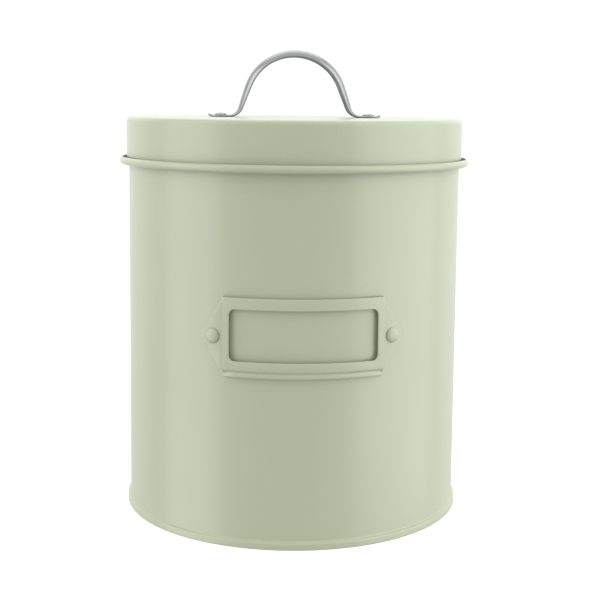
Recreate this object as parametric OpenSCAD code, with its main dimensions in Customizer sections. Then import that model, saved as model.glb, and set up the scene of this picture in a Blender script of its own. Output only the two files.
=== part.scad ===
// Round pet food bin in painted sheet steel with a slip-over lid, a strap handle and a label frame.
// Millimetres. The origin is the centre of the underside, +Z is up and the label faces -Y.

/* [Body] */
// Outside diameter of the body wall
body_diameter = 200; // [160:1:250]
// Height from the floor to the flat top of the closed lid
closed_height = 235; // [200:1:320]
// Thickness of the sheet in the body, the base and the lid
sheet = 0.6; // [0.4:0.05:0.7]
// Outer radius of the inward curl at the mouth
mouth_curl_radius = 1.5; // [1.3:0.05:1.6]
// Width of the folded side seam down the back
seam_width = 5; // [3:0.5:8]

/* [Base] */
// How far the base rim stands out from the wall
rim_overhang = 1.7; // [1.5:0.1:2.5]
// Height of the base rim
rim_height = 4.2; // [3.5:0.1:6]
// How far the floor of the base is set up from the ground
base_recess = 3; // [2:0.1:3.5]

/* [Lid] */
// Radial gap between the body wall and the lid skirt
lid_gap = 0.7; // [0.5:0.05:1]
// Depth of the lid from its flat top to the lowest point of the curl
lid_depth = 28.3; // [20:0.1:40]
// Outer radius of the corner between the lid top and the skirt
lid_corner = 2.6; // [2.2:0.1:3]
// Outer radius of the open curl round the edge of the skirt
lid_curl_radius = 2.4; // [1.8:0.1:3]
// How far the free edge of the curl turns up past the outermost point
lid_curl_turn = 62; // [20:1:90]

/* [Handle] */
// Length of the handle from tip to tip
handle_span = 105; // [95:1:120]
// Height of the handle above the lid
handle_height = 40.3; // [37:0.1:46]
// Distance between the two handle rivets
handle_rivet_pitch = 90; // [88:0.5:92]
// Inner radius of the arch
arch_radius = 28.3; // [26:0.1:30]
// Lean of the legs from upright
leg_lean = 22; // [16:1:24]
// Bend radius between the leg and the foot
foot_bend = 8.5; // [7:0.5:9]
// Width of the strap
strap_width = 15; // [12:0.5:20]
// Thickness of the strap sheet
strap_sheet = 1.2; // [0.8:0.1:1.6]
// Depth of the rounded crown across the strap at the top of the arch
strap_crown = 3; // [1:0.1:4]
// Lift of the tips of the feet
tip_lift = 0.8; // [0:0.1:1.2]

/* [Label frame] */
// Height of the middle of the label frame above the floor
label_height = 117.5; // [80:0.1:150]
// Angle that the raised frame covers round the body
label_angle = 51.6; // [40:0.2:60]
// Overall height of the frame
frame_height = 44; // [36:0.5:60]
// Angle that the window covers round the body
window_angle = 46.8; // [34:0.2:54]
// Height of the window
window_height = 28.5; // [20:0.5:40]
// Distance from the bottom of the frame to the bottom of the window
window_rise = 9.2; // [7:0.1:12]
// Corner radius of the window
window_corner = 3.3; // [1:0.1:5]
// Height of the flange below the step at the bottom of the frame
flange_height = 3; // [2:0.1:5]
// Thickness of the frame sheet
frame_sheet = 0.7; // [0.5:0.05:0.8]
// Depth of the slot behind the frame
card_slot = 2.2; // [1:0.1:3]
// Angle from the middle of the frame to each rivet
label_rivet_angle = 29.35; // [28.5:0.05:34]
// Radius of the rounded end of each ear
ear_radius = 6.7; // [5:0.1:8]

/* [Rivets] */
// Head radius of the label rivets
label_head_radius = 4.15; // [3:0.05:4.5]
// Head height of the label rivets
label_head_height = 1.9; // [1.2:0.1:2.4]
// Head radius of the handle rivets
handle_head_radius = 3.6; // [3:0.05:4.5]
// Head height of the handle rivets
handle_head_height = 1.3; // [1:0.1:2]
// Shank radius of all four rivets
shank_radius = 1.6; // [1.2:0.05:2]

/* [Hidden] */
$fn = 96;
body_radius = body_diameter / 2;
wall_inside = body_radius - sheet;
rest_gap = 0.3;
mouth_height = closed_height - sheet - rest_gap;
skirt_inside = body_radius + lid_gap;
skirt_radius = skirt_inside + sheet;
rim_radius = body_radius + rim_overhang;
lid_low = closed_height - lid_depth;
hole_gap = 0.05;
hole_radius = shank_radius + hole_gap;
tail_radius = shank_radius + 1.1;
tail_height = 1;
overlap = 0.5;
reach = 20;
groove_depth = 0.2;
groove_width = 0.5;
front = -90;
deg = 180 / PI;

paint = [0.72, 0.76, 0.63];
steel = [0.66, 0.67, 0.67];

// Part of a turned shape that covers an angle either side of a direction seen from above.
module sector(direction, angle) {
    rotate([0, 0, direction - angle / 2])
        rotate_extrude(angle = angle)
            children();
}

// A ring of sheet seen end on.
module sheet_ring(outer, thickness) {
    difference() {
        circle(r = outer);
        circle(r = outer - thickness);
    }
}

// Rectangle between two radii and two heights.
module band(inner, outer, low, high) {
    translate([inner, low])
        square([outer - inner, high - low]);
}

// ---- Body wall: rolled sheet with an inward curl at the mouth and a folded seam at the back.

module body_profile() {
    curl_middle = mouth_height - mouth_curl_radius;
    band(wall_inside, body_radius, sheet, curl_middle);
    // The bottom edge is flanged outward, inside the fold of the base.
    band(wall_inside, rim_radius - sheet - hole_gap, sheet, 2 * sheet);
    translate([body_radius - mouth_curl_radius, curl_middle])
        difference() {
            sheet_ring(mouth_curl_radius, sheet);
            translate([0, -mouth_curl_radius * 2])
                square(mouth_curl_radius * 2);
        }
}

module body_shell() {
    seam_angle = seam_width / body_radius * deg;
    groove_angle = groove_width / body_radius * deg;
    seam_low = base_recess + 2 * sheet;
    seam_high = mouth_height - 3 * mouth_curl_radius;
    color(paint)
        difference() {
            union() {
                rotate_extrude()
                    body_profile();
                sector(-front, seam_angle)
                    band(wall_inside - sheet, wall_inside + sheet / 2, seam_low, seam_high);
            }
            // Shallow line where the seam shows outside.
            sector(-front, groove_angle)
                band(body_radius - groove_depth, body_radius + 1, rim_height + 1, seam_high);
            for (side = [-1, 1])
                radial(side * label_rivet_angle, label_height, 0)
                    cylinder(h = reach, r = hole_radius, center = true);
        }
}

// ---- Base: pressed disc with a raised floor, its edge folded round the bottom of the wall.

module base_profile() {
    fold_round = sheet;
    floor_high = base_recess + sheet;
    throat = body_radius + lid_gap / 2;
    difference() {
        union() {
            // Rounded outside of the fold.
            band(wall_inside - sheet, rim_radius - fold_round, 0, rim_height);
            band(wall_inside - sheet, rim_radius, fold_round, rim_height - fold_round);
            for (z = [fold_round, rim_height - fold_round])
                translate([rim_radius - fold_round, z])
                    circle(r = fold_round);
        }
        // Space inside the fold, for the flanged edge of the wall.
        band(wall_inside, rim_radius - sheet, sheet, rim_height - sheet);
        // Throat that the wall comes down through.
        band(wall_inside, throat, rim_height - 2 * sheet, rim_height + 1);
        // The inner side of the fold stops at the floor of the base.
        band(wall_inside - 2 * sheet, wall_inside + overlap / 2, floor_high, rim_height + 1);
    }
    band(0, wall_inside - sheet / 2, base_recess, floor_high);
}

module body_base() {
    color(paint)
        rotate_extrude()
            base_profile();
}

// ---- Label frame: one pressing, curved to the wall, open along its top edge.

// Moves a shape from flat on the wall's front to an angle and a height round the body.
module radial(angle, height, lift) {
    rotate([0, 0, angle])
        translate([0, -body_radius - lift, height])
            rotate([90, 0, 0])
                children();
}

frame_low = label_height - frame_height / 2;
frame_high = label_height + frame_height / 2;
frame_front = body_radius + card_slot + frame_sheet;
window_low = frame_low + window_rise;
window_high = window_low + window_height;

// Raised part: front face, side walls and floor step, with a flange below the step.
module raised_frame() {
    wall_angle = frame_sheet / frame_front * deg;
    step = frame_low + flange_height;
    difference() {
        sector(front, label_angle)
            band(body_radius, frame_front, frame_low, frame_high);
        // Slot for the card, open at the top.
        sector(front, label_angle - 2 * wall_angle)
            band(body_radius - 1, frame_front - frame_sheet, step + frame_sheet, frame_high + 1);
        sector(front, label_angle + 2)
            band(body_radius + frame_sheet, frame_front + 1, frame_low - 1, step);
    }
}

// Triangular ear with a rounded end, drawn flat about its rivet.
module ear_outline() {
    side_edge = -body_radius * sin(label_rivet_angle - label_angle / 2 + 0.2);
    corner = frame_height / 2 - overlap / 2;
    distance = norm([side_edge, corner]);
    turn = atan2(corner, side_edge) - acos(ear_radius / distance);
    // Just inside the circle, so that the straight edge crosses it.
    tangent = 0.99 * ear_radius * [cos(turn), sin(turn)];
    circle(r = ear_radius);
    polygon([
        [side_edge, corner],
        tangent,
        [tangent[0], -tangent[1]],
        [side_edge, -corner]
    ]);
}

module ear(side) {
    intersection() {
        rotate_extrude()
            band(body_radius, body_radius + frame_sheet, frame_low, frame_high);
        radial(side * label_rivet_angle, label_height, 0)
            mirror([side < 0 ? 1 : 0, 0, 0])
                linear_extrude(reach, center = true)
                    ear_outline();
    }
}

module window_cut() {
    half = frame_front * sin(window_angle / 2);
    translate([0, 0, (window_low + window_high) / 2])
        rotate([90, 0, 0])
            linear_extrude(2 * body_radius) {
                square([2 * half, window_height - 2 * window_corner], center = true);
                square([2 * (half - window_corner), window_height], center = true);
                for (x = [-1, 1])
                    for (y = [-1, 1])
                        translate([x * (half - window_corner), y * (window_height / 2 - window_corner)])
                            circle(r = window_corner);
            }
}

module label_frame() {
    color(paint)
        difference() {
            union() {
                raised_frame();
                for (side = [-1, 1])
                    ear(side);
            }
            window_cut();
            for (side = [-1, 1])
                radial(side * label_rivet_angle, label_height, 0)
                    cylinder(h = reach, r = hole_radius, center = true);
        }
}

// ---- Rivets: domed head outside, plain shank and a flattened tail inside.

// Spherical cap of this radius at z = 0, carried on below it by a given depth.
module dome(radius, height, depth) {
    ball = (radius * radius + height * height) / (2 * height);
    rotate_extrude()
        intersection() {
            translate([0, height - ball])
                circle(r = ball);
            translate([0, -depth])
                square([radius + 1, height + depth + 1]);
        }
}

module label_rivet(side) {
    seat = body_radius + frame_sheet;
    sag = tail_radius * tail_radius / (2 * wall_inside);
    color(paint) {
        difference() {
            radial(side * label_rivet_angle, label_height, frame_sheet)
                dome(label_head_radius, label_head_height, overlap);
            translate([0, 0, label_height])
                cylinder(h = reach, r = seat, center = true, $fn = 256);
        }
        radial(side * label_rivet_angle, label_height, -sheet - sag - tail_height)
            cylinder(h = tail_height, r = tail_radius);
        radial(side * label_rivet_angle, label_height, -sheet - sag - tail_height / 2)
            cylinder(h = sheet + sag + tail_height / 2 + frame_sheet + overlap, r = shank_radius);
    }
}

module label_rivet_left() {
    label_rivet(-1);
}

module label_rivet_right() {
    label_rivet(1);
}

module handle_rivet(side) {
    color(steel)
        translate([side * handle_rivet_pitch / 2, 0, closed_height]) {
            translate([0, 0, strap_sheet])
                dome(handle_head_radius, handle_head_height, 0);
            translate([0, 0, -sheet - tail_height])
                cylinder(h = tail_height, r = tail_radius);
            translate([0, 0, -sheet - tail_height / 2])
                cylinder(h = sheet + tail_height / 2 + strap_sheet + overlap, r = shank_radius);
        }
}

module handle_rivet_left() {
    handle_rivet(-1);
}

module handle_rivet_right() {
    handle_rivet(1);
}

// ---- Lid: one drawn pan, flat on top, its edge rolled outward into an open curl.

module lid_profile() {
    corner_middle = skirt_radius - lid_corner;
    curl_middle = lid_low + lid_curl_radius;
    curl_centre = skirt_inside + lid_curl_radius;
    band(0, corner_middle, closed_height - sheet, closed_height);
    translate([corner_middle, closed_height - lid_corner])
        intersection() {
            sheet_ring(lid_corner, sheet);
            square(lid_corner * 2);
        }
    band(skirt_inside, skirt_radius, curl_middle, closed_height - lid_corner);
    // Open curl: the sheet goes down, outward and up again, and stops short of the skirt.
    translate([curl_centre, curl_middle])
        difference() {
            sheet_ring(lid_curl_radius, sheet);
            polygon([
                [0, 0],
                3 * lid_curl_radius * [cos(lid_curl_turn), sin(lid_curl_turn)],
                [0, 3 * lid_curl_radius],
                [-3 * lid_curl_radius, 3 * lid_curl_radius],
                [-3 * lid_curl_radius, 0]
            ]);
        }
}

module lid_shell() {
    color(paint)
        difference() {
            rotate_extrude()
                lid_profile();
            for (side = [-1, 1])
                translate([side * handle_rivet_pitch / 2, 0, closed_height])
                    cylinder(h = 4 * sheet, r = hole_radius, center = true);
        }
}

// ---- Handle: one pressed strap, crowned across the arch and flattened into a foot at each end.

// Half of the centre line, as [distance out, height above the lid, slope angle of the outward
// direction, share of the way from the top of the arch to the foot].
arch_centre = handle_height - strap_sheet - strap_crown - arch_radius;
leg_top = arch_radius * [cos(leg_lean), sin(leg_lean)] + [0, arch_centre];
leg_fall = leg_top[1] / cos(leg_lean);
heel = leg_top[0] + leg_fall * sin(leg_lean);
bend_run = foot_bend * tan((90 - leg_lean) / 2);
leg_length = leg_fall - bend_run;
arch_length = arch_radius * (90 - leg_lean) / deg;
bend_length = foot_bend * (90 - leg_lean) / deg;
shaped_length = arch_length + leg_length + bend_length;
foot_start = heel + bend_run;
tip_out = handle_span / 2;
lift_start = handle_rivet_pitch / 2 + handle_head_radius;
tip_start = tip_out - strap_width / 2;

arch_steps = 14;
leg_steps = 3;
bend_steps = 8;
tip_steps = 9;
across_steps = 10;

function lifted(out) = out < lift_start ? 0 : tip_lift * pow((out - lift_start) / (tip_out - lift_start), 2);
function arch_station(i) =
    let (a = 90 - i * (90 - leg_lean) / arch_steps, way = arch_length * i / arch_steps)
    [arch_radius * cos(a), arch_centre + arch_radius * sin(a), a, way / shaped_length];
function leg_station(i) =
    let (way = leg_length * i / leg_steps)
    [
        leg_top[0] + way * sin(leg_lean),
        leg_top[1] - way * cos(leg_lean),
        leg_lean,
        (arch_length + way) / shaped_length
    ];
function bend_station(i) =
    let (a = leg_lean + i * (90 - leg_lean) / bend_steps)
    [
        foot_start - foot_bend * cos(a),
        foot_bend - foot_bend * sin(a),
        a,
        (arch_length + leg_length + bend_length * i / bend_steps) / shaped_length
    ];
// The tip is a half circle in plan, so its stations close up towards the end.
function tip_station(i) =
    let (out = tip_start + (tip_out - tip_start) * sin(i * 88 / tip_steps))
    [out, lifted(out), 90, 1];

half_line = concat(
    [for (i = [0 : arch_steps]) arch_station(i)],
    [for (i = [1 : leg_steps]) leg_station(i)],
    [for (i = [1 : bend_steps]) bend_station(i)],
    [for (i = [0 : tip_steps]) if (tip_station(i)[0] > foot_start + overlap) tip_station(i)]
);

function half_width(out) =
    out < tip_start
    ? strap_width / 2
    : sqrt(pow(strap_width / 2, 2) - pow(out - tip_start, 2));
function crown(share) = strap_crown * (1 - pow(share, 4));

// One cross-section, as a loop of points: along the outer face, then back along the inner face.
// The crown has steep shoulders, and the sheet keeps its thickness round them.
function section(station, side) =
    let (
        w = half_width(station[0]),
        c = crown(station[3]),
        half_sheet = strap_sheet / 2,
        inset = half_sheet * sin(atan(4 * c / w)),
        normal = station[3] < 1 ? [cos(station[2]), sin(station[2])] : [0, 1]
    )
    [
        for (face = [1, -1])
            for (j = [0 : across_steps])
                let (
                    v = face * sin(90 * (2 * j / across_steps - 1)),
                    slope = atan(-4 * c * pow(v, 3) / w),
                    across = v * (w - inset) - face * half_sheet * sin(slope),
                    rise = c * (1 - pow(v, 4)) + half_sheet * (1 + face * cos(slope))
                )
                [
                    side * (station[0] + rise * normal[0]),
                    across,
                    closed_height + station[1] + rise * normal[1]
                ]
    ];

module handle_strap() {
    count = len(half_line);
    sections = concat(
        [for (i = [count - 1 : -1 : 1]) section(half_line[i], -1)],
        [for (i = [0 : count - 1]) section(half_line[i], 1)]
    );
    around = len(sections[0]);
    last = len(sections) - 1;
    sides = [
        for (i = [0 : last - 1])
            for (j = [0 : around - 1])
                let (
                    a = i * around + j,
                    b = i * around + (j + 1) % around,
                    c = a + around,
                    d = b + around
                )
                each [[a, b, c], [b, d, c]]
    ];
    // Each end is closed by strips between the outer and the inner face.
    caps = [
        for (j = [0 : across_steps - 1])
            let (k = around - 1 - j, end = last * around)
            each [
                [j, k - 1, j + 1],
                [j, k, k - 1],
                [end + j, end + j + 1, end + k - 1],
                [end + j, end + k - 1, end + k]
            ]
    ];
    color(steel)
        difference() {
            polyhedron([for (s = sections) each s], concat(sides, caps));
            for (side = [-1, 1])
                translate([side * handle_rivet_pitch / 2, 0, closed_height])
                    cylinder(h = reach, r = hole_radius, center = true);
        }
}

body_shell();
body_base();
label_frame();
label_rivet_left();
label_rivet_right();
lid_shell();
handle_strap();
handle_rivet_left();
handle_rivet_right();
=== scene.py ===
import math

import bmesh
import bpy
from mathutils import Matrix, Vector, geometry


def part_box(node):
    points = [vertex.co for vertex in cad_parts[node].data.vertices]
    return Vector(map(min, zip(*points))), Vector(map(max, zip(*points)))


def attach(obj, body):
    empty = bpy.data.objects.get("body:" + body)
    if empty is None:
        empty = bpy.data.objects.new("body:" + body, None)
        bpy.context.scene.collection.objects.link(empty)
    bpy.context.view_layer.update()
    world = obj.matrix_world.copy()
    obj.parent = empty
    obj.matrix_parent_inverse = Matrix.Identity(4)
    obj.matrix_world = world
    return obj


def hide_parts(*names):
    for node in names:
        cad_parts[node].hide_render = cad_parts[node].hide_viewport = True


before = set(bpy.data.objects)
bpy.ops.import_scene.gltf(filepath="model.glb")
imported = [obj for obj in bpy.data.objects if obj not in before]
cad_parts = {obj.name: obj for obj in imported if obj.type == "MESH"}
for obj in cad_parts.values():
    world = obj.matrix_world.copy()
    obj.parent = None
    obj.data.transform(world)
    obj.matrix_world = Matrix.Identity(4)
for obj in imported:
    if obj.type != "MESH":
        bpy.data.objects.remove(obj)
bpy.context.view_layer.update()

# ---------------------------------------------------------------- sizes, in millimetres
MM = 0.001  # metres in a millimetre
SHEET = 0.6  # wall, base and lid sheet
FLOOR_UP = 3.0  # height of the base disc above the ground
LID_GAP = 0.7  # from the wall to the lid skirt
CURL = 2.4  # radius of the lid curl
CURL_TURN = 62  # degrees that the free edge of the curl turns up
LID_CORNER = 2.6
MOUTH_CURL = 1.5
RIM_OUT = 1.7  # how far the base rim stands out from the wall
SEAL = 0.95  # radius of the paint fillet between the rim and the wall
SHANK = 1.6
TAIL = 2.7  # radius of a rivet's flattened tail
TAIL_DEEP = 1.0
FRAME_SHEET = 0.7
FRAME_TURN = 25.8  # degrees from the middle of the label frame to its sides
WINDOW_TURN = 23.4
WINDOW_LOW = 9.2  # from the bottom of the label frame to the window
WINDOW_TALL = 28.5
WINDOW_ROUND = 3.3
LABEL_RIVET_TURN = 29.35
LABEL_RIVET_RISE = 1.9
EAR = 6.7  # radius of the rounded end of an ear
CARD_SLOT = 2.2
STEP = 1.7  # height of the step above the bottom of the label frame
FLANGE_RISE = 1.6  # how far the flange below the step bulges
STRAP_SHEET = 1.2
ARCH = 28.3  # inner radius of the handle's arch
LEG_LEAN = 22  # degrees
FOOT_BEND = 8.5
CROWN = 3.0  # depth of the rounded crown across the strap
TIP_LIFT = 0.8


def box_mm(node):
    low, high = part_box(node)
    return low / MM, high / MM


base_low, base_high = box_mm("body_base")
wall_low, wall_high = box_mm("body_shell")
lid_low, lid_high = box_mm("lid_shell")
strap_low, strap_high = box_mm("handle_strap")
plate_low, plate_high = box_mm("label_frame")
rivet_low, rivet_high = box_mm("handle_rivet_right")
label_rivet_low, label_rivet_high = box_mm("label_rivet_right")

TOP = lid_high.z
MOUTH = wall_high.z
CURL_OUT = round(lid_high.x, 1)
WALL = round(CURL_OUT - 2 * CURL - LID_GAP, 1)
RIM = WALL + RIM_OUT
RIM_HIGH = base_high.z
SKIRT = WALL + LID_GAP + SHEET


# ---------------------------------------------------------------- mesh helpers
def arc(x, y, radius, start, stop, steps):
    """Points on a circle from one angle to another, in degrees."""
    out = []
    for i in range(steps + 1):
        a = math.radians(start + (stop - start) * i / steps)
        out.append((x + radius * math.cos(a), y + radius * math.sin(a)))
    return out


def climb(r, low, high, steps):
    return [(r, low + (high - low) * i / steps) for i in range(steps + 1)]


def mesh_object(name, points, faces, limit=38):
    """A smooth-shaded object from points in millimetres, sharp where faces turn past the limit."""
    mesh = bpy.data.meshes.new(name)
    mesh.from_pydata([Vector(p) * MM for p in points], [], faces)
    bm = bmesh.new()
    bm.from_mesh(mesh)
    bmesh.ops.remove_doubles(bm, verts=bm.verts, dist=1e-7)
    bmesh.ops.recalc_face_normals(bm, faces=bm.faces)
    for f in bm.faces:
        f.smooth = True
    for e in bm.edges:
        if len(e.link_faces) == 2 and e.calc_face_angle(0) > math.radians(limit):
            e.smooth = False
    bm.to_mesh(mesh)
    bm.free()
    obj = bpy.data.objects.new(name, mesh)
    bpy.context.scene.collection.objects.link(obj)
    return obj


def even(count):
    return [2 * math.pi * i / count for i in range(count)]


def lathe(name, profile, angles, closed=True, bend=None, limit=38):
    """Turns a profile of (radius, height) round Z. bend may move a point by its angle."""
    points, rings = [], []
    for r, z in profile:
        if r < 1e-6:
            rings.append([len(points)] * len(angles))
            points.append((0, 0, z))
            continue
        rings.append(list(range(len(points), len(points) + len(angles))))
        for a in angles:
            rr, zz = bend(r, z, a) if bend else (r, z)
            points.append((rr * math.cos(a), rr * math.sin(a), zz))
    faces = []
    pairs = list(zip(rings, rings[1:] + rings[:1])) if closed else list(zip(rings, rings[1:]))
    for one, two in pairs:
        for i in range(len(angles)):
            j = (i + 1) % len(angles)
            loop = [one[i], one[j], two[j], two[i]]
            face = [v for k, v in enumerate(loop) if v != loop[k - 1]]
            if len(face) > 2:
                faces.append(face)
    return mesh_object(name, points, faces, limit)


def place(obj, node, body, material):
    obj.data.materials.append(material)
    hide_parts(node)
    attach(obj, body)
    return obj


# ---------------------------------------------------------------- materials
class Tree:
    """Short names for the shader nodes used below."""

    def __init__(self, name):
        self.material = bpy.data.materials.new(name)
        self.material.use_nodes = True
        self.nodes = self.material.node_tree.nodes
        self.links = self.material.node_tree.links
        self.shader = self.nodes["Principled BSDF"]
        self.where = self.nodes.new("ShaderNodeTexCoord").outputs["Object"]

    def link(self, a, b):
        self.links.new(a, b)

    def scaled(self, scale):
        m = self.nodes.new("ShaderNodeMapping")
        m.inputs["Scale"].default_value = scale
        self.link(self.where, m.inputs["Vector"])
        return m.outputs["Vector"]

    def noise(self, scale, detail=2.0, rough=0.5, vector=None):
        n = self.nodes.new("ShaderNodeTexNoise")
        n.inputs["Scale"].default_value = scale
        n.inputs["Detail"].default_value = detail
        n.inputs["Roughness"].default_value = rough
        self.link(vector or self.where, n.inputs["Vector"])
        return n.outputs["Fac"]

    def ramp(self, fac, stops):
        r = self.nodes.new("ShaderNodeValToRGB")
        while len(r.color_ramp.elements) < len(stops):
            r.color_ramp.elements.new(0.5)
        for e, (at, colour) in zip(r.color_ramp.elements, stops):
            e.position = at
            e.color = (*colour, 1)
        self.link(fac, r.inputs["Fac"])
        return r.outputs["Color"]

    def spread(self, fac, low, high, start=0.3, stop=0.7):
        m = self.nodes.new("ShaderNodeMapRange")
        m.inputs["From Min"].default_value = start
        m.inputs["From Max"].default_value = stop
        m.inputs["To Min"].default_value = low
        m.inputs["To Max"].default_value = high
        self.link(fac, m.inputs["Value"])
        return m.outputs["Result"]

    def mix(self, kind, fac, a, b):
        m = self.nodes.new("ShaderNodeMix")
        m.data_type = "RGBA"
        m.blend_type = kind
        if isinstance(fac, float):
            m.inputs["Factor"].default_value = fac
        else:
            self.link(fac, m.inputs["Factor"])
        self.link(a, m.inputs[6])
        if isinstance(b, tuple):
            m.inputs[7].default_value = (*b, 1)
        else:
            self.link(b, m.inputs[7])
        return m.outputs[2]

    def bump(self, height, distance, strength=1.0, under=None):
        b = self.nodes.new("ShaderNodeBump")
        b.inputs["Strength"].default_value = strength
        b.inputs["Distance"].default_value = distance
        self.link(height, b.inputs["Height"])
        if under:
            self.link(under, b.inputs["Normal"])
        return b.outputs["Normal"]

    def edges(self, low, high):
        g = self.nodes.new("ShaderNodeNewGeometry")
        return self.spread(g.outputs["Pointiness"], 0.0, 1.0, low, high)


def sage_paint():
    """Satin powder coat: two close sage tones, fine pigment, orange peel and paler edges."""
    t = Tree("sage_powder_coat")
    sage = [(0.35, (0.403, 0.436, 0.300)), (0.65, (0.423, 0.456, 0.316))]
    pigment = [(0.3, (0.97, 0.97, 0.965)), (0.7, (1.0, 1.0, 1.0))]
    tone = t.ramp(t.noise(7.0, 3.0), sage)
    grain = t.ramp(t.noise(900.0, 3.0, 0.6), pigment)
    colour = t.mix("MULTIPLY", 1.0, tone, grain)
    worn = t.edges(0.515, 0.60)
    colour = t.mix("MIX", t.spread(worn, 0.0, 0.30, 0.0, 1.0), colour, (0.62, 0.66, 0.50))
    t.link(colour, t.shader.inputs["Base Color"])
    t.link(t.spread(t.noise(45.0, 4.0, 0.6), 0.31, 0.39), t.shader.inputs["Roughness"])
    t.shader.inputs["IOR"].default_value = 1.5
    t.shader.inputs["Coat Weight"].default_value = 0.4
    t.shader.inputs["Coat Roughness"].default_value = 0.24
    peel = t.bump(t.noise(520.0, 2.0), 0.000010)
    peel = t.bump(t.noise(1500.0, 2.0), 0.000002, 1.0, peel)
    t.link(peel, t.shader.inputs["Normal"])
    return t.material


def strap_steel(name, streak):
    """Satin galvanised steel with faint lines along the strap and a soft mottle."""
    t = Tree(name)
    mottle = t.noise(160.0, 4.0, 0.6)
    lines = t.noise(1.0, 3.0, 0.55, t.scaled(streak))
    colour = t.ramp(mottle, [(0.3, (0.315, 0.317, 0.320)), (0.7, (0.335, 0.337, 0.340))])
    shade = t.ramp(lines, [(0.3, (0.95, 0.95, 0.95)), (0.7, (1.0, 1.0, 1.0))])
    t.link(t.mix("MULTIPLY", 1.0, colour, shade), t.shader.inputs["Base Color"])
    t.shader.inputs["Metallic"].default_value = 1.0
    t.link(t.spread(mottle, 0.30, 0.35), t.shader.inputs["Roughness"])
    low = t.bump(mottle, 0.0000012)
    t.link(t.bump(lines, 0.0000006, 1.0, low), t.shader.inputs["Normal"])
    return t.material


paint = sage_paint()
steel = strap_steel("strap_steel", (60.0, 2600.0, 60.0))
rivet_steel = strap_steel("rivet_steel", (500.0, 500.0, 500.0))


# ---------------------------------------------------------------- body wall
def wall_profile():
    inner = WALL - SHEET
    mid = MOUTH - MOUTH_CURL
    centre = WALL - MOUTH_CURL
    out = [(inner, SHEET + 0.1), (inner + 0.1, SHEET)]
    out += [(RIM - SHEET - 0.15, SHEET), (RIM - SHEET - 0.05, SHEET + 0.1)]
    out += [(RIM - SHEET - 0.05, 2 * SHEET - 0.1), (RIM - SHEET - 0.15, 2 * SHEET)]
    out += arc(WALL + 0.3, 2 * SHEET + 0.3, 0.3, 270, 180, 4)
    out += climb(WALL, 2 * SHEET + 1, mid, 24)
    out += arc(centre, mid, MOUTH_CURL, 0, 268, 30)
    out += arc(centre, mid - MOUTH_CURL + SHEET / 2, SHEET / 2, 250, 110, 5)
    out += arc(centre, mid, MOUTH_CURL - SHEET, 268, 4, 26)
    out += climb(inner, mid - 0.5, SHEET + 1.2, 20)
    return out


def wall_bend(r, z, a):
    """The folded seam down the back: a groove outside and a raised strip inside."""
    out_from_seam = abs(a - math.pi / 2) * WALL
    if not 5 < z < MOUTH - 4.5:
        return r, z
    fade = min(1, (z - 5) / 2, (MOUTH - 4.5 - z) / 2)
    if r > WALL - 0.3:
        depth = 0.2 * max(0, 1 - (out_from_seam / 0.35) ** 2)
        return r - depth * fade, z
    step = min(1, max(0, (2.8 - out_from_seam) / 0.5))
    return r - SHEET * step * step * (3 - 2 * step) * fade, z


def wall_angles():
    """Even steps round the wall, with finer ones across the seam."""
    from_seam = (0.12, 0.25, 0.35, 0.6, 1.4, 2.2, 2.35, 2.5, 2.65, 2.8)
    fine = [math.pi / 2 + s * x / WALL for x in from_seam for s in (-1, 1)]
    back = math.pi / 2
    spots = [a for a in even(288) if abs(a - back) * WALL > 3.2 or abs(a - back) < 1e-9]
    return sorted(spots + fine)


wall = lathe("body_wall", wall_profile(), wall_angles(), bend=wall_bend)
place(wall, "body_shell", "bin", paint)


# ---------------------------------------------------------------- base
def base_profile():
    inner = WALL - SHEET
    floor = FLOOR_UP
    seal = WALL - 0.05
    out = [(0, floor), (40, floor), (80, floor)]
    out += arc(inner - SHEET - 1.0, floor - 1.0, 1.0, 90, 0, 6)
    out += arc(inner - SHEET + 0.5, 0.5, 0.5, 180, 270, 5)
    out += arc(RIM - 0.8, 0.8, 0.8, 270, 360, 9)
    out += arc(RIM - 0.9, RIM_HIGH - 0.9, 0.9, 0, 62, 8)
    out += arc(WALL + SEAL, RIM_HIGH + SEAL, SEAL, 250, 182, 8)
    out += [(seal, RIM_HIGH + 1.0), (seal, RIM_HIGH - SHEET)]
    out += [(RIM - SHEET - 0.1, RIM_HIGH - SHEET)]
    out += [(RIM - SHEET, RIM_HIGH - SHEET - 0.1), (RIM - SHEET, SHEET + 0.1)]
    out += [(RIM - SHEET - 0.1, SHEET)]
    out += [(inner + 0.1, SHEET), (inner, SHEET + 0.1), (inner, floor + SHEET - 0.5)]
    out += arc(inner - 0.5, floor + SHEET - 0.5, 0.5, 0, 90, 5)
    out += [(80, floor + SHEET), (40, floor + SHEET), (0, floor + SHEET)]
    return out


base = lathe("body_bottom", base_profile(), even(288), closed=False)
place(base, "body_base", "bin", paint)


# ---------------------------------------------------------------- lid
def lid_profile():
    mid = lid_low.z + CURL
    centre = CURL_OUT - CURL
    corner = SKIRT - LID_CORNER
    end = 360 + CURL_TURN
    tip_r = CURL - SHEET / 2
    tip = (
        centre + tip_r * math.cos(math.radians(end)),
        mid + tip_r * math.sin(math.radians(end)),
    )
    flat = (0, 30, 60, 85, 95)
    out = [(r, TOP) for r in flat]
    out += arc(corner, TOP - LID_CORNER, LID_CORNER, 90, 0, 12)
    out += climb(SKIRT, TOP - LID_CORNER - 1.5, mid + 1, 6)
    out += arc(centre, mid, CURL - SHEET, 180, end, 30)
    out += arc(*tip, SHEET / 2, end + 180 - 20, end + 20, 5)
    out += arc(centre, mid, CURL, end, 180, 34)
    out += climb(SKIRT - SHEET, mid + 1, TOP - LID_CORNER - 1.5, 6)
    out += arc(corner, TOP - LID_CORNER, LID_CORNER - SHEET, 0, 90, 10)
    out += [(r, TOP - SHEET) for r in reversed(flat)]
    return out


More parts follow.
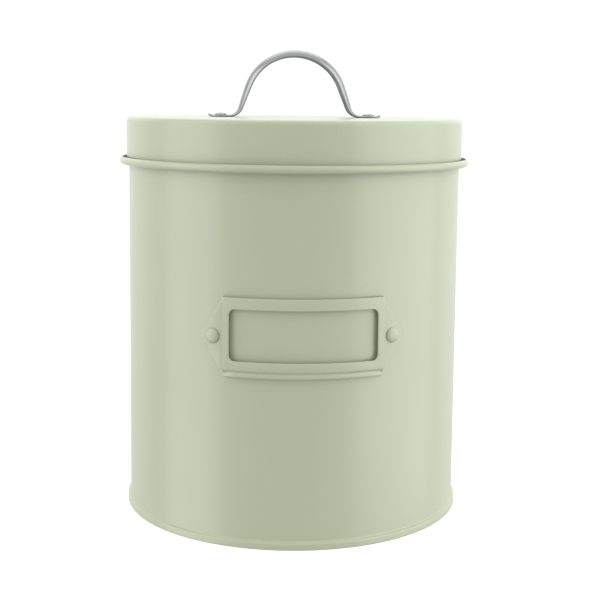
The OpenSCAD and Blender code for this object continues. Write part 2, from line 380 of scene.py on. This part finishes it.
lid = lathe("lid_pan", lid_profile(), even(320), closed=False)
place(lid, "lid_shell", "lid", paint)


# ---------------------------------------------------------------- label frame
def label_plate():
    """One pressing, cut from a flat outline and curved to the wall."""
    half_high = (plate_high.z - plate_low.z) / 2
    middle = (plate_high.z + plate_low.z) / 2
    side = math.radians(FRAME_TURN) * WALL
    win_side = math.radians(WINDOW_TURN) * WALL
    win_low, win_high = WINDOW_LOW - half_high, WINDOW_LOW + WINDOW_TALL - half_high
    rivet = math.radians(LABEL_RIVET_TURN) * WALL
    step = STEP - half_high

    def outline(inset):
        """Convex outline of the frame with its two ears, moved inward."""
        gap = rivet - side
        reach = math.acos(EAR / math.hypot(gap, half_high))
        turn = math.degrees(math.atan2(half_high, -gap) - reach)
        r = EAR - inset
        right = arc(rivet, 0, r, -turn, turn, 16)
        slope = Vector((math.cos(math.radians(turn)), math.sin(math.radians(turn))))
        # The corner lies where the ear's slope meets the top or the bottom.
        high = half_high - inset
        along = Vector((-slope.y, slope.x))
        start = Vector(right[-1])
        corner = start + along * ((high - start.y) / along.y)
        loop = right + [(corner.x, high), (-corner.x, high)]
        loop += [(-x, -y) for x, y in right]
        loop += [(-corner.x, -high), (corner.x, -high)]
        return loop

    def window(grow):
        r = WINDOW_ROUND + grow
        x, low, high = win_side - WINDOW_ROUND, win_low + WINDOW_ROUND, win_high - WINDOW_ROUND
        loop = []
        for cx, cy, start in ((x, high, 0), (-x, high, 90), (-x, low, 180), (x, low, 270)):
            loop += arc(cx, cy, r, start, start + 90, 8)
        return loop

    soft = 0.32  # rounding of the cut edges
    points, edges = [], []

    def add_loop(loop):
        start = len(points)
        points.extend(Vector(p) for p in loop)
        edges.extend((start + i, start + (i + 1) % len(loop)) for i in range(len(loop)))

    for inset in (0, 0.06, 0.16, soft):
        add_loop(outline(inset))
        add_loop(window(inset))
    side_width, step_width, lip = 0.5, 3.0, 0.9
    ramp = [0, 0.12, 0.3, 0.5, 0.7, 0.88, 1]
    ups = [x * 2.2 for x in range(-26, 27)]
    ups += [s * (side - side_width * k) for k in ramp for s in (-1, 1)]
    ups += [s * (side + 0.25) for s in (-1, 1)]
    across = [-half_high + x for x in (0.12, 0.3, 0.5, 0.7, 0.9, 1.3, 1.8, 2.4)]
    across += [12.0, 4.0, -4.0]
    across += [step + step_width * k for k in ramp] + [step - 0.25]
    across += [half_high * k for k in (0.5, 0.62, 0.74, 0.86)]
    for u in ups:
        points.extend((Vector((u, -half_high - 1)), Vector((u, half_high + 1))))
        edges.append((len(points) - 2, len(points) - 1))
    for z in across:
        points.extend((Vector((-60, z)), Vector((60, z))))
        edges.append((len(points) - 2, len(points) - 1))
    flat, _, tris = geometry.delaunay_2d_cdt(points, edges, [], 0, 1e-5)[:3]

    rim = [Vector(p) for p in outline(0)]
    win = [Vector(p) for p in window(0)]

    def convex_depth(p, loop):
        """Distance inside a convex loop drawn anticlockwise; negative outside."""
        best = 1e9
        for a, b in zip(loop, loop[1:] + loop[:1]):
            d = b - a
            if d.length > 1e-6:
                best = min(best, (d.x * (p.y - a.y) - d.y * (p.x - a.x)) / d.length)
        return best

    def smooth(x):
        x = min(1, max(0, x))
        return x * x * (3 - 2 * x)

    def height(p, depth):
        up = smooth((side - abs(p.x)) / side_width) * smooth((p.y - step) / step_width)
        lean = 0.25 * smooth((p.y / half_high - 0.4) / 0.6)
        h = FRAME_SHEET + CARD_SLOT * up * (1 - lean)
        low = smooth((side - abs(p.x)) / 5) * smooth((step + step_width - p.y) / step_width)
        if low > 0:
            h = max(h, FRAME_SHEET + FLANGE_RISE * low)
            edge = max(0.0, lip - (p.y + half_high))
            h -= FLANGE_RISE * low * (1 - math.sqrt(max(0.0, 1 - (edge / lip) ** 2)))
        if depth < soft:
            h -= 0.8 * (soft - math.sqrt(max(0, soft * soft - (soft - depth) ** 2)))
        return h

    keep, used = [], {}
    for f in tris:
        c = sum((flat[i] for i in f), Vector((0, 0))) / len(f)
        if convex_depth(c, rim) > 0 and convex_depth(c, win) < 0:
            keep.append(f)
            for i in f:
                used.setdefault(i, len(used))
    order = sorted(used, key=used.get)

    def edge_depth(p):
        """Distance to the nearest cut edge."""
        outer = convex_depth(p, rim)
        best = 1e9
        for a, b in zip(win, win[1:] + win[:1]):
            near = geometry.intersect_point_line(p, a, b)
            q = a if near[1] < 0 else b if near[1] > 1 else near[0].xy
            best = min(best, (p - q).length)
        return max(0, min(outer, best))

    def lift(p, h):
        a = p.x / WALL
        return ((WALL + h) * math.sin(a), -(WALL + h) * math.cos(a), middle + p.y)

    front, back = [], []
    for i in order:
        p = flat[i]
        h = height(p, edge_depth(p))
        full = height(p, 1)
        front.append(lift(p, h))
        back.append(lift(p, max(full - FRAME_SHEET, 0) + 0.02))
    count = len(front)
    faces = [[used[i] for i in f] for f in keep]
    seen = {}
    for f in faces:
        for a, b in zip(f, f[1:] + f[:1]):
            seen[(a, b)] = True
    sides = [[a, b, b + count, a + count] for a, b in seen if (b, a) not in seen]
    faces += [[i + count for i in reversed(f)] for f in faces] + sides
    return mesh_object("label_holder", front + back, faces, 50)


label = label_plate()
place(label, "label_frame", "bin", paint)


# ---------------------------------------------------------------- rivets
def rivet_profile(head, rise, grip_top, grip_low):
    """Domed head standing on grip_top, shank, and flattened tail below grip_low."""
    out = []
    for i in range(17):
        a = math.radians(90 - 90 * i / 17)
        out.append((head * math.cos(a), grip_top + 0.15 + (rise - 0.15) * math.sin(a) ** 0.9))
    out[0] = (0, grip_top + rise)
    out += [(head, grip_top + 0.15), (head - 0.15, grip_top)]
    out += [(SHANK, grip_top), (SHANK, grip_low), (TAIL - 0.15, grip_low), (TAIL, grip_low - 0.15)]
    out += [(TAIL - 0.1, grip_low - TAIL_DEEP + 0.3), (TAIL - 0.45, grip_low - TAIL_DEEP)]
    out += [(0, grip_low - TAIL_DEEP)]
    return out


head_radius = (rivet_high.x - rivet_low.x) / 2
head_rise = rivet_high.z - TOP - STRAP_SHEET
rivet_x = (rivet_high.x + rivet_low.x) / 2
profile = rivet_profile(head_radius, head_rise, STRAP_SHEET, -SHEET)
for side, node in ((-1, "handle_rivet_left"), (1, "handle_rivet_right")):
    piece = lathe(node + "_dome", profile, even(64), closed=False)
    piece.data.transform(Matrix.Translation(Vector((side * rivet_x, 0, TOP)) * MM))
    place(piece, node, "lid", rivet_steel)

label_head = (label_rivet_high.z - label_rivet_low.z) / 2
label_mid = (label_rivet_high.z + label_rivet_low.z) / 2
profile = rivet_profile(label_head, LABEL_RIVET_RISE, FRAME_SHEET - 0.05, -SHEET - 0.04)
for side, node in ((-1, "label_rivet_left"), (1, "label_rivet_right")):
    piece = lathe(node + "_dome", profile, even(64), closed=False)
    turn = Matrix.Rotation(side * math.radians(LABEL_RIVET_TURN), 4, "Z")
    facing = Matrix.Rotation(math.pi / 2, 4, "X")
    piece.data.transform(turn @ Matrix.Translation(Vector((0, -WALL, label_mid)) * MM) @ facing)
    place(piece, node, "bin", paint)


# ---------------------------------------------------------------- handle
def strap():
    """One crowned strap swept along the arch, flattened into a foot at each end."""
    reach = strap_high.x
    tall = strap_high.z - TOP
    half = (strap_high.y - strap_low.y) / 2
    radius, lean, bend = ARCH, math.radians(LEG_LEAN), FOOT_BEND
    centre = tall - STRAP_SHEET - CROWN - radius
    start = Vector((radius * math.cos(lean), centre + radius * math.sin(lean)))
    fall = start.y / math.cos(lean)
    run = bend * math.tan((math.pi / 2 - lean) / 2)
    foot = start.x + fall * math.sin(lean) + run
    arch_length = radius * (math.pi / 2 - lean)
    leg_length = fall - run
    bend_length = bend * (math.pi / 2 - lean)
    shaped = arch_length + leg_length + bend_length
    tip = reach - half
    lift_from = rivet_x + head_radius

    line = []
    for i in range(41):
        way = arch_length * i / 40
        a = math.pi / 2 - way / radius
        line.append((radius * math.cos(a), centre + radius * math.sin(a), a, way / shaped))
    for i in range(1, 13):
        way = leg_length * i / 12
        p = start + Vector((math.sin(lean), -math.cos(lean))) * way
        line.append((p.x, p.y, lean, (arch_length + way) / shaped))
    for i in range(1, 25):
        way = bend_length * i / 24
        a = lean + way / bend
        share = (arch_length + leg_length + way) / shaped
        line.append((foot - bend * math.cos(a), bend - bend * math.sin(a), a, share))
    outs = [foot + (tip - foot) * i / 6 for i in range(1, 7)]
    outs += [tip + (reach - tip) * math.sin(math.radians(i * 89 / 22)) for i in range(1, 23)]
    for x in outs:
        up = 0 if x < lift_from else TIP_LIFT * ((x - lift_from) / (reach - lift_from)) ** 2
        line.append((x, up, math.pi / 2, 1))

    steps = 24

    def section(station, side):
        x, z, a, share = station
        w = half if x < tip else math.sqrt(max(0.0004, half * half - (x - tip) ** 2))
        c = CROWN * (1 - share**4)
        t = min(STRAP_SHEET, 1.6 * w) / 2
        loop = []
        mids = []
        for j in range(steps + 1):
            v = math.sin(math.pi / 2 * (2 * j / steps - 1))
            slope = math.atan2(-4 * c * v**3, w)
            mids.append((v * (w - t), c * (1 - v**4) + STRAP_SHEET / 2, slope))
        for y, m, s in mids:
            loop.append((y - t * math.sin(s), m + t * math.cos(s)))
        y, m, s = mids[-1]
        for k in range(1, 6):
            b = math.pi / 2 + s - math.pi * k / 6
            loop.append((y + t * math.cos(b), m + t * math.sin(b)))
        for y, m, s in reversed(mids):
            loop.append((y + t * math.sin(s), m - t * math.cos(s)))
        y, m, s = mids[0]
        for k in range(1, 6):
            b = -math.pi / 2 + s - math.pi * k / 6
            loop.append((y + t * math.cos(b), m + t * math.sin(b)))
        return [(side * (x + r * math.cos(a)), y, TOP + z + r * math.sin(a)) for y, r in loop]

    sections = [section(s, -1) for s in reversed(line[1:])]
    sections += [section(s, 1) for s in line]
    around = len(sections[0])
    points = [p for s in sections for p in s]
    faces = []
    for i in range(len(sections) - 1):
        for j in range(around):
            k = (j + 1) % around
            here, there = i * around, (i + 1) * around
            faces.append([here + j, here + k, there + k, there + j])
    faces.append(list(range(around)))
    faces.append([len(points) - 1 - j for j in range(around)])
    return mesh_object("handle_arch", points, faces, 60)


handle = strap()
place(handle, "handle_strap", "lid", steel)


# ---------------------------------------------------------------- floor, light and camera
def floor_material():
    t = Tree("pale_floor")
    tone = t.ramp(t.noise(2.0, 2.0), [(0.3, (0.90, 0.90, 0.90)), (0.7, (0.93, 0.93, 0.93))])
    t.link(tone, t.shader.inputs["Base Color"])
    t.shader.inputs["Roughness"].default_value = 0.9
    t.shader.inputs["Specular IOR Level"].default_value = 0.1
    t.shader.inputs["Emission Color"].default_value = (1, 1, 1, 1)
    t.shader.inputs["Emission Strength"].default_value = 0.25
    return t.material


floor_mesh = bpy.data.meshes.new("studio_floor")
bm = bmesh.new()
bmesh.ops.create_circle(bm, cap_ends=True, radius=6.0, segments=128)
bm.to_mesh(floor_mesh)
bm.free()
floor = bpy.data.objects.new("studio_floor", floor_mesh)
bpy.context.scene.collection.objects.link(floor)
floor.data.materials.append(floor_material())
floor.visible_diffuse = False
floor.visible_glossy = False
floor.visible_shadow = False


def studio():
    """A pale room, dim below and on the camera's side, bright behind the bin."""
    world = bpy.data.worlds.new("studio")
    bpy.context.scene.world = world
    world.use_nodes = True
    nodes, links = world.node_tree.nodes, world.node_tree.links
    nodes.clear()
    where = nodes.new("ShaderNodeTexCoord")
    split = nodes.new("ShaderNodeSeparateXYZ")
    links.new(where.outputs["Generated"], split.inputs["Vector"])

    def graded(axis, stops):
        spread = nodes.new("ShaderNodeMapRange")
        spread.inputs["From Min"].default_value = -1.0
        spread.inputs["From Max"].default_value = 1.0
        links.new(split.outputs[axis], spread.inputs["Value"])
        ramp = nodes.new("ShaderNodeValToRGB")
        while len(ramp.color_ramp.elements) < len(stops):
            ramp.color_ramp.elements.new(0.5)
        for e, (at, value) in zip(ramp.color_ramp.elements, stops):
            e.position = (at + 1) / 2
            e.color = (value, value, value, 1)
        links.new(spread.outputs["Result"], ramp.inputs["Fac"])
        return ramp.outputs["Color"]

    near = [(-1, 0.62), (-0.78, 0.64), (-0.6, 0.90)]
    far = [(0.0, 0.60), (0.3, 0.62), (0.42, 1.0), (1, 1.0)]
    depth = graded("Y", near + far)
    height = graded("Z", [(-1, 0.52), (-0.3, 0.64), (0.0, 0.84), (0.3, 1.0), (1, 1.0)])
    across = graded("X", [(-1, 0.82), (-0.35, 1.0), (1, 1.0)])

    def times(a, b):
        product = nodes.new("ShaderNodeMix")
        product.data_type = "RGBA"
        product.blend_type = "MULTIPLY"
        product.inputs["Factor"].default_value = 1.0
        links.new(a, product.inputs[6])
        links.new(b, product.inputs[7])
        return product.outputs[2]

    room = nodes.new("ShaderNodeBackground")
    links.new(times(times(depth, height), across), room.inputs["Color"])
    room.inputs["Strength"].default_value = 1.36
    white = nodes.new("ShaderNodeBackground")
    white.inputs["Color"].default_value = (1, 1, 1, 1)
    white.inputs["Strength"].default_value = 1.05
    path = nodes.new("ShaderNodeLightPath")
    mix = nodes.new("ShaderNodeMixShader")
    links.new(path.outputs["Is Camera Ray"], mix.inputs["Fac"])
    links.new(room.outputs["Background"], mix.inputs[1])
    links.new(white.outputs["Background"], mix.inputs[2])
    out = nodes.new("ShaderNodeOutputWorld")
    links.new(mix.outputs["Shader"], out.inputs["Surface"])


def softbox(name, turn, far, low, high, width, bright, back=None):
    """A panel of even brightness, upright and facing the bin, or flat above it and set back."""
    data = bpy.data.lights.new(name, "AREA")
    data.shape = "RECTANGLE"
    data.size, data.size_y = width, high - low
    data.energy = bright * math.pi * width * (high - low)
    data.color = (0.985, 1.0, 1.045)
    obj = bpy.data.objects.new(name, data)
    bpy.context.scene.collection.objects.link(obj)
    obj.visible_camera = False
    if back is not None:
        obj.location = (0, back, far)
        return
    a = math.radians(turn)
    obj.location = (far * math.sin(a), -far * math.cos(a), (low + high) / 2)
    obj.rotation_euler = (math.pi / 2, 0, a)


studio()
softbox("left_softbox", -72, 0.7, -0.55, 1.0, 0.52, 1.60)
softbox("right_softbox", 68, 0.7, -0.25, 1.0, 0.88, 1.38)
softbox("top_softbox", 0, 1.5, 0, 1.6, 1.6, 0.80, 0.7)


def camera():
    """Eye a little above the lid, almost square to the label."""
    turn, tilt, roll = math.radians(3.962), math.radians(6.670), 0.00999
    flat = Vector((math.sin(turn), math.cos(turn), 0))
    ahead = flat * math.cos(tilt) - Vector((0, 0, math.sin(tilt)))
    level = Vector((math.cos(turn), -math.sin(turn), 0))
    above = level.cross(ahead)
    right = level * math.cos(roll) + above * math.sin(roll)
    up = above * math.cos(roll) - level * math.sin(roll)
    data = bpy.data.cameras.new("camera")
    data.lens = 72.27
    data.shift_y = -0.1
    data.clip_start, data.clip_end = 0.01, 50
    obj = bpy.data.objects.new("camera", data)
    bpy.context.scene.collection.objects.link(obj)
    turned = Matrix((right, up, -ahead)).transposed().to_4x4()
    obj.matrix_world = Matrix.Translation((-0.04695, -0.7358, 0.246)) @ turned
    bpy.context.scene.camera = obj


camera()
bpy.context.scene.view_settings.view_transform = "Standard"
